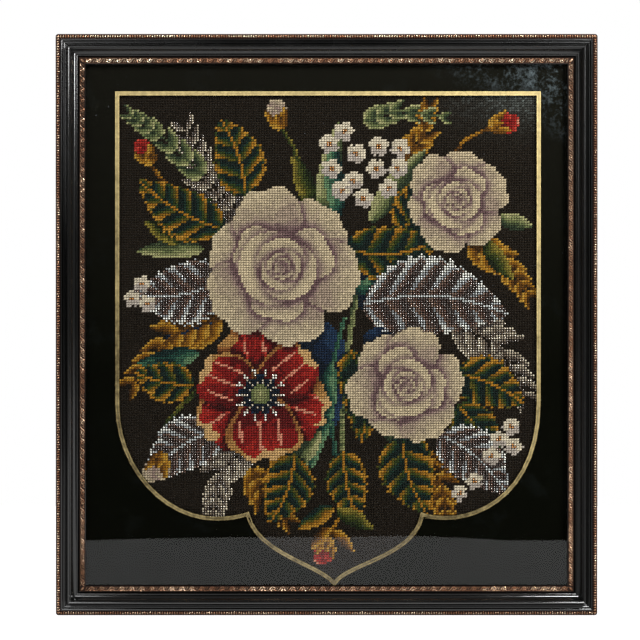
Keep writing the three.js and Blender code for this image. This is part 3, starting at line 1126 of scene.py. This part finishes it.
class PANEL_OT_slips(bpy.types.Operator):
    """Model the gilt slip with its running scroll beside the glass"""

    bl_idname = "needlework.slips"
    bl_label = "Scrolled Slips"

    # One scroll, as along and across in parts of the pitch and of the slip's width
    SCROLL = ((-0.5, -0.30), (-0.38, -0.34), (-0.25, -0.26), (-0.14, -0.06), (-0.06, 0.16),
              (0.06, 0.31), (0.20, 0.32), (0.30, 0.18), (0.31, -0.04), (0.22, -0.20), (0.09, -0.18),
              (0.04, -0.02), (0.10, 0.10), (0.18, 0.06))
    LEAVES = (((0.30, -0.10), (0.38, -0.30), (0.47, -0.34)),
              ((-0.45, -0.20), (-0.39, 0.08), (-0.29, 0.34)),
              ((0.39, -0.06), (0.43, 0.14), (0.51, 0.33)),
              ((-0.06, -0.12), (-0.01, -0.28), (0.10, -0.38)))
    EYE = 0.13  # how far along each scroll its eye lies, in parts of the pitch
    SCROLL_RADIUS, LEAF_RADIUS, EYE_RADIUS = 0.29 * MM, 0.25 * MM, 0.5 * MM

    # Depths of the ground, the brightest gilding, the ornament and the rims, in parts of the rise
    GROUND, BRIGHTEST, ORNAMENT, RIM_TOP = 0.68, 0.12, 0.42, 0.56
    RIM = 0.35 * MM  # width of the plain rim on each side
    LEAF_RISE, LEAF_BREADTH = 0.9, 0.42  # of each corner's leaf, in parts of the rise and the width
    SOFT = math.radians(50)  # edges of the ornament that are less sharp are shaded smooth

    # How bright each side's gilding is painted, as painted light and shade, and the brown of the ground:
    # dirt and painted shade
    PAINTED_SIDE_LIGHT = {"bottom": 0.56, "left": 0.5, "top": 0.98, "right": 0.58}
    DIRT_AND_SHADE = (0.022, 0.0085, 0.0036)

    def cord(self, points, pitch, width, radius, depth, middle_z):
        """A raised line of the ornament, thick in its middle."""
        curve = bpy.data.curves.new("line", "CURVE")
        curve.dimensions = "3D"
        curve.bevel_depth = radius
        curve.bevel_resolution = 1
        curve.use_fill_caps = True
        line = curve.splines.new("POLY")
        line.points.add(len(points) - 1)
        for k, (along, across) in enumerate(points):
            line.points[k].co = (along * pitch, depth, middle_z + across * width, 1)
            line.points[k].radius = 0.62 + 0.5 * math.sin(math.pi * k / (len(points) - 1))
        choose(placed("line", curve))
        bpy.ops.object.convert(target="MESH")
        return bpy.context.object

    def execute(self, context):
        moulding = context.scene.moulding
        low, high = span("slip_bottom")
        crest, seat = low.y, high.y
        width = high.z - low.z
        inner = low.z - FRAME_LOW.z
        rise = seat - crest
        floor = crest + self.GROUND * rise
        for side in SIDES:
            finish = gilt_finish(f"slip gilt {side}", moulding.copper, self.DIRT_AND_SHADE, floor,
                                 crest + self.BRIGHTEST * rise, self.PAINTED_SIDE_LIGHT[side])
            full, across = strip_at_bottom(side)
            length = full - 2 * inner
            drop = across / 2 - inner
            base = bar(length, (floor, 0), (seat, width), bevel=0.2 * MM, outer_drop=drop)
            middle_z = FRAME_MIDDLE.z - drop + width / 2
            free = length - 2 * width
            count = round(free / moulding.scroll_pitch)
            pitch = free / count
            depth = crest + self.ORNAMENT * rise
            scroll = self.cord(self.SCROLL, pitch, width, self.SCROLL_RADIUS, depth, middle_z)
            leaves = [self.cord(leaf, pitch, width, self.LEAF_RADIUS, depth, middle_z)
                      for leaf in self.LEAVES]
            deselect()
            bpy.ops.mesh.primitive_uv_sphere_add(segments=8, ring_count=4, radius=self.EYE_RADIUS,
                                                 location=(self.EYE * pitch, depth, middle_z))
            eye = bpy.context.object
            bpy.ops.object.transform_apply(location=True)
            ornament = repeated(joined([scroll, *leaves, eye]), count, pitch)
            deselect()
            bpy.ops.mesh.primitive_uv_sphere_add(segments=8, ring_count=6, radius=0.5,
                                                 location=((width - length) / 2, floor, middle_z))
            corner_leaf = bpy.context.object
            corner_leaf.scale = (width, self.LEAF_RISE * rise, self.LEAF_BREADTH * width)
            corner_leaf.rotation_euler = (0, -math.pi / 4, 0)
            bpy.ops.object.transform_apply(location=True, rotation=True, scale=True)
            ornament = joined([ornament, corner_leaf])
            choose(ornament)
            bpy.ops.object.shade_smooth_by_angle(angle=self.SOFT)
            rim_top = crest + self.RIM_TOP * rise
            rims = [bar(length, (rim_top, inset), (seat, inset + self.RIM), bevel=0.12 * MM,
                        outer_drop=drop) for inset in (0.0, width - self.RIM)]
            slip = turned_to_side(joined([base, *rims, ornament]), side, f"scrolled_slip_{side}")
            dress(slip, finish)
            carried(slip, "copper_gilt", f"slip_{side}")
        return {"FINISHED"}


class PANEL_OT_glazing(bpy.types.Operator):
    """Finish the glass, the black border and the gold line behind it, and the backboard"""

    bl_idname = "needlework.glazing"
    bl_label = "Glass, Border and Board"

    def execute(self, context):
        gold = context.scene.moulding.gold
        dress_node("glass", glass_finish())
        paint = border_finish()
        dress_node("black_border", paint)
        dress_node("backboard", board_finish())
        line = smooth_copy("gold_line", "painted_line", angle=math.radians(30))
        dress(line, paint)
        line.data.materials.append(gold_finish("gold line", gold))
        ochre = tuple(LINE_MIDDLE * c for c in gold)
        line.data.materials.append(gold_finish("gold line middle", ochre))
        front = min(v.co.y for v in line.data.vertices)
        bpy.ops.object.mode_set(mode="EDIT")
        bpy.ops.mesh.select_mode(type="FACE")
        shape = bmesh.from_edit_mesh(line.data)
        for face in shape.faces:
            face.select_set(all(abs(v.co.y - front) < SAME for v in face.verts))
        bmesh.update_edit_mesh(line.data)
        for slot, thickness in enumerate((LINE_LAP, LINE_EDGE), start=1):
            bpy.ops.mesh.inset(thickness=thickness, depth=-LINE_STEP, use_even_offset=False)
            for face in bmesh.from_edit_mesh(line.data).faces:
                face.material_index = slot if face.select else face.material_index
        bpy.ops.object.mode_set(mode="OBJECT")
        carried(line, "gold_leaf", "gold_line")
        return {"FINISHED"}


def in_sight(chart, margin):
    """Which stitches the black border leaves in sight, and some rows beyond."""
    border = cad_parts["black_border"].data
    border.calc_loop_triangles()
    corners = [v.co for v in border.vertices]
    faces = [tuple(t.vertices) for t in border.loop_triangles]
    tree = BVHTree.FromPolygons(corners, faces)
    ahead = Vector((0, 1, 0))
    front = FRAME_LOW.y - 0.1  # well before the frame
    open_here = np.array([
        [tree.ray_cast(Vector((x * MM, front, z * MM)), ahead)[0] is None for x, z in zip(xs, zs)]
        for xs, zs in zip(chart.x, chart.z)
    ])
    for _ in range(margin):
        grown = open_here.copy()
        grown[1:] |= open_here[:-1]
        grown[:-1] |= open_here[1:]
        grown[:, 1:] |= open_here[:, :-1]
        grown[:, :-1] |= open_here[:, 1:]
        open_here = grown
    return open_here


# The grey bloom on the ground, with painted light from the upper right: how far in its middle lies and how
# far it reaches, in millimetres
BLOOM_AND_LIGHT_RIGHT, BLOOM_AND_LIGHT_UPPER, BLOOM_AND_LIGHT_REACH = 22, 14, 40
BLOOM_AND_LIGHT_STRENGTH, BLOOM_AND_LIGHT_COLOUR = 0.14, (0.8, 0.95, 0.92)


def veiled_and_lit(chart, colours, rng):
    """The ground dulled by the bloom and paled by painted light, stitch by stitch, near its upper right
    corner.
    """
    away = np.hypot(0.8 * (chart.x.max() - BLOOM_AND_LIGHT_RIGHT - chart.x),
                    1.7 * (chart.z.max() - BLOOM_AND_LIGHT_UPPER - chart.z))
    fleck = 0.2 + 0.8 * rng.random(chart.x.shape) ** 2
    # Bloom and painted light: the ground is paled near its upper right corner.
    veil_and_light = np.exp(-((away / BLOOM_AND_LIGHT_REACH) ** 2)) * fleck * (chart.bundle == 0)
    return colours + BLOOM_AND_LIGHT_STRENGTH * veil_and_light[..., None] * np.array(BLOOM_AND_LIGHT_COLOUR)


# The joined pieces of wool and beads, each with its bundles
WOOL_PIECES = {
    "wool_roses": ("rose", "lilac"),
    "wool_reds": ("red", "tan", "ochre"),
    "wool_leaves": ("leaf", "olive", "sage", "teal", "night"),
}
BEAD_PIECES = {"beads_ice": ("ice", "white"), "beads_pearl": ("pearl", "amber")}
GROUND_PIECES = ("wool_ground_left", "wool_ground_right")


class PANEL_OT_needlework(bpy.types.Operator):
    """Chart the bouquet, stretch the canvas and sew every stitch and bead"""

    bl_idname = "needlework.needlework"
    bl_label = "Canvas, Wool and Beads"

    # Width, height and strand of the two stitches, in parts of one square and one strand
    CROSS, WIDE_CROSS = (1.22, 0.88, 0.97), (1.35, 0.82, 0.94)
    CANVAS = 0.8 * MM  # thickness
    FACE = 0.9 * MM  # from the canvas's face to the back of its node
    BARE = 12  # bare margin of the canvas, in millimetres
    BEAD_LIFT = 0.42  # how far a bead's middle lies before the face, in parts of its diameter

    def canvas(self, low, high, face):
        """The stretched canvas, a thin sheet with the margin that the frame covers."""
        deselect()
        bpy.ops.mesh.primitive_grid_add(x_subdivisions=48, y_subdivisions=52, size=1)
        piece = bpy.context.object
        piece.scale = (high.x - low.x, high.z - low.z, 1)
        piece.rotation_euler = (math.pi / 2, 0, 0)
        piece.location = (0, face, (low.z + high.z) / 2)
        settle(piece, "canvas")
        modified(piece, "SOLIDIFY", thickness=self.CANVAS, offset=-1)
        dress(piece, canvas_finish())
        return piece

    def execute(self, context):
        stitch = context.scene.stitch
        low, high = span("needlework")
        face = high.y - self.FACE
        chart = Chart(low.x / MM + self.BARE, high.x / MM - self.BARE, low.z / MM,
                      high.z / MM - self.BARE, stitch.width / MM, stitch.height / MM)
        chart_bouquet(chart)
        rng = np.random.default_rng(stitch.seed)
        colours = veiled_and_lit(chart, chart.colours(), rng)
        shown = in_sight(chart, margin=2)

        canvas = self.canvas(low, high, face)
        square = (stitch.width, stitch.height, stitch.strand)
        cross, wide_cross = (cross_stitch(*(part * size for part, size in zip(parts, square)))
                             for parts in (self.CROSS, self.WIDE_CROSS))
        bead = seed_bead(stitch.bead, math.atan2(stitch.height, stitch.width))
        wool, glass = wool_finish(), bead_finish()

        def sew(name, model, mask, finish, grime_and_shade, jitter, lift=0.0):
            depth = np.full(mask.sum(), face - lift)
            places = np.stack([chart.x[mask] * MM, depth, chart.z[mask] * MM], -1)
            piece = sewn(name, model, places, colours[mask], grime_and_shade, jitter, rng)
            dress(piece, finish)
            carried(piece, "needlework")

        def of_bundles(names):
            return shown & np.isin(chart.bundle, [chart.names.index(name) for name in names])

        # Each sewing darkens its copies towards the canvas, as grime and painted shade.
        ground = of_bundles(["ground"])
        for name, half in zip(GROUND_PIECES, (chart.x < 0, chart.x >= 0)):
            sew(name, wide_cross, ground & half, wool, grime_and_shade=0.8, jitter=0.03)
        for name, bundles in WOOL_PIECES.items():
            sew(name, cross, of_bundles(bundles), wool, grime_and_shade=0.86, jitter=0.035)
        for name, bundles in BEAD_PIECES.items():
            sew(name, bead, of_bundles(bundles), glass, grime_and_shade=0.5, jitter=0.03,
                lift=self.BEAD_LIFT * stitch.bead)
        discard(cross, wide_cross, bead)

        carried(canvas, "needlework", "needlework")
        return {"FINISHED"}


class PANEL_OT_stage(bpy.types.Operator):
    """Set the pale floor, the soft lights, the dark screen that the glass mirrors, and the camera"""

    bl_idname = "needlework.stage"
    bl_label = "Studio"

    # name, place, size, power in watts, and whether it lights dull surfaces or is only mirrored
    LIGHTS = (
        ("key", (0.90, -0.95, 1.10), 0.5, 36.0, True),
        ("fill", (-0.9, -1.2, 0.9), 0.6, 7.0, True),
        ("window", (-0.95, -1.05, 0.75), 0.55, 5.0, False),
        ("back", (0.2, 1.6, 1.5), 2.0, 30.0, True),
    )
    EVEN, PALE = (0.9, 0.17), (1.0, 1.0)  # level and strength of the light and of the background

    def floor(self):
        deselect()
        bpy.ops.mesh.primitive_plane_add(size=5, location=(0, -1.5, FRAME_LOW.z))
        piece = bpy.context.object
        piece.name = "floor"
        f = Finish("pale floor")
        white = f.shader((0.2, 0.2, 0.2), 0.8, specular_ior_level=0.2, emission_color=(1, 1, 1, 1),
                         emission_strength=0.97)
        dress(piece, f.show(white))

    def screen(self, distance):
        """A dark screen before the panel that only reflections see."""
        deselect()
        size = 1.2 * FRAME_SIZE.z  # a little taller than the frame
        bpy.ops.mesh.primitive_plane_add(size=size, location=(0, -distance, FRAME_LOW.z + size / 2),
                                         rotation=(math.pi / 2, 0, 0))
        piece = bpy.context.object
        piece.name = "dark_screen"
        f = Finish("dark screen")
        dress(piece, f.show(f.shader((0.004, 0.004, 0.004), 1.0, specular_ior_level=0.0)))
        for ray in ("camera", "diffuse", "transmission", "volume_scatter", "shadow"):
            setattr(piece, f"visible_{ray}", False)

    def light(self, name, place, size, power, lights_all):
        lamp = bpy.data.lights.new(name, "AREA")
        lamp.shape = "DISK"
        lamp.size = size
        lamp.energy = power
        piece = placed(name, lamp)
        piece.location = place
        aim = Vector((0, 0, FRAME_MIDDLE.z)) - Vector(place)
        piece.rotation_euler = aim.to_track_quat("-Z", "Y").to_euler()
        piece.visible_diffuse = lights_all

    def surroundings(self):
        """A pale background for the camera, and a dimmer even light for everything else."""
        f = Finish("studio", "worlds")
        even, pale = (f.add("ShaderNodeBackground", inputs={"Color": (level, level, level, 1),
                                                            "Strength": strength})
                      for level, strength in (self.EVEN, self.PALE))
        seen = f.add("ShaderNodeLightPath", output="Is Camera Ray")
        mix = f.add("ShaderNodeMixShader", inputs={0: seen, 1: even, 2: pale})
        f.add("ShaderNodeOutputWorld", inputs={"Surface": mix})
        bpy.context.scene.world = f.material

    def camera(self, stage):
        lens = bpy.data.cameras.new("camera")
        lens.sensor_fit = "HORIZONTAL"
        lens.angle = 2 * math.atan(stage.view_width / 2 / stage.distance)
        piece = placed("camera", lens)
        face = Vector((FRAME_MIDDLE.x, FRAME_LOW.y, FRAME_MIDDLE.z)) + Vector(stage.offset)
        back = Vector((0, -math.cos(stage.elevation), math.sin(stage.elevation)))
        piece.location = face + stage.distance * back
        piece.rotation_euler = (math.pi / 2 - stage.elevation, 0, 0)
        bpy.context.scene.camera = piece

    def execute(self, context):
        stage = context.scene.stage
        context.scene.view_settings.view_transform = "Standard"
        self.floor()
        self.screen(stage.floor_front)
        for row in self.LIGHTS:
            self.light(*row)
        self.surroundings()
        self.camera(stage)
        return {"FINISHED"}


class PANEL_PT_needlework(bpy.types.Panel):
    """Makes the pieces of the needlework panel"""

    bl_label = "Needlework Panel"
    bl_idname = "PANEL_PT_needlework"
    bl_space_type = "VIEW_3D"
    bl_region_type = "UI"
    bl_category = "Needlework"

    def draw(self, context):
        for settings in (context.scene.stitch, context.scene.moulding, context.scene.stage):
            box = self.layout.box()
            for name in settings.bl_rna.properties.keys():
                if name not in ("rna_type", "name"):
                    box.prop(settings, name)
        for operator in OPERATORS:
            self.layout.operator(operator.bl_idname)


SETTINGS = {"stitch": StitchSettings, "moulding": MouldingSettings, "stage": StageSettings}
OPERATORS = (PANEL_OT_stage, PANEL_OT_rails, PANEL_OT_edging, PANEL_OT_slips, PANEL_OT_glazing,
             PANEL_OT_needlework)


def register():
    for cls in (*SETTINGS.values(), *OPERATORS, PANEL_PT_needlework):
        bpy.utils.register_class(cls)
    for name, cls in SETTINGS.items():
        setattr(bpy.types.Scene, name, PointerProperty(type=cls))


def unregister():
    for name in SETTINGS:
        delattr(bpy.types.Scene, name)
    for cls in (PANEL_PT_needlework, *reversed(OPERATORS), *reversed(SETTINGS.values())):
        bpy.utils.unregister_class(cls)


def main():
    register()
    bpy.ops.needlework.stage()
    bpy.ops.needlework.rails()
    bpy.ops.needlework.edging()
    bpy.ops.needlework.slips()
    bpy.ops.needlework.glazing()
    bpy.ops.needlework.needlework()


if __name__ == "__main__":
    main()
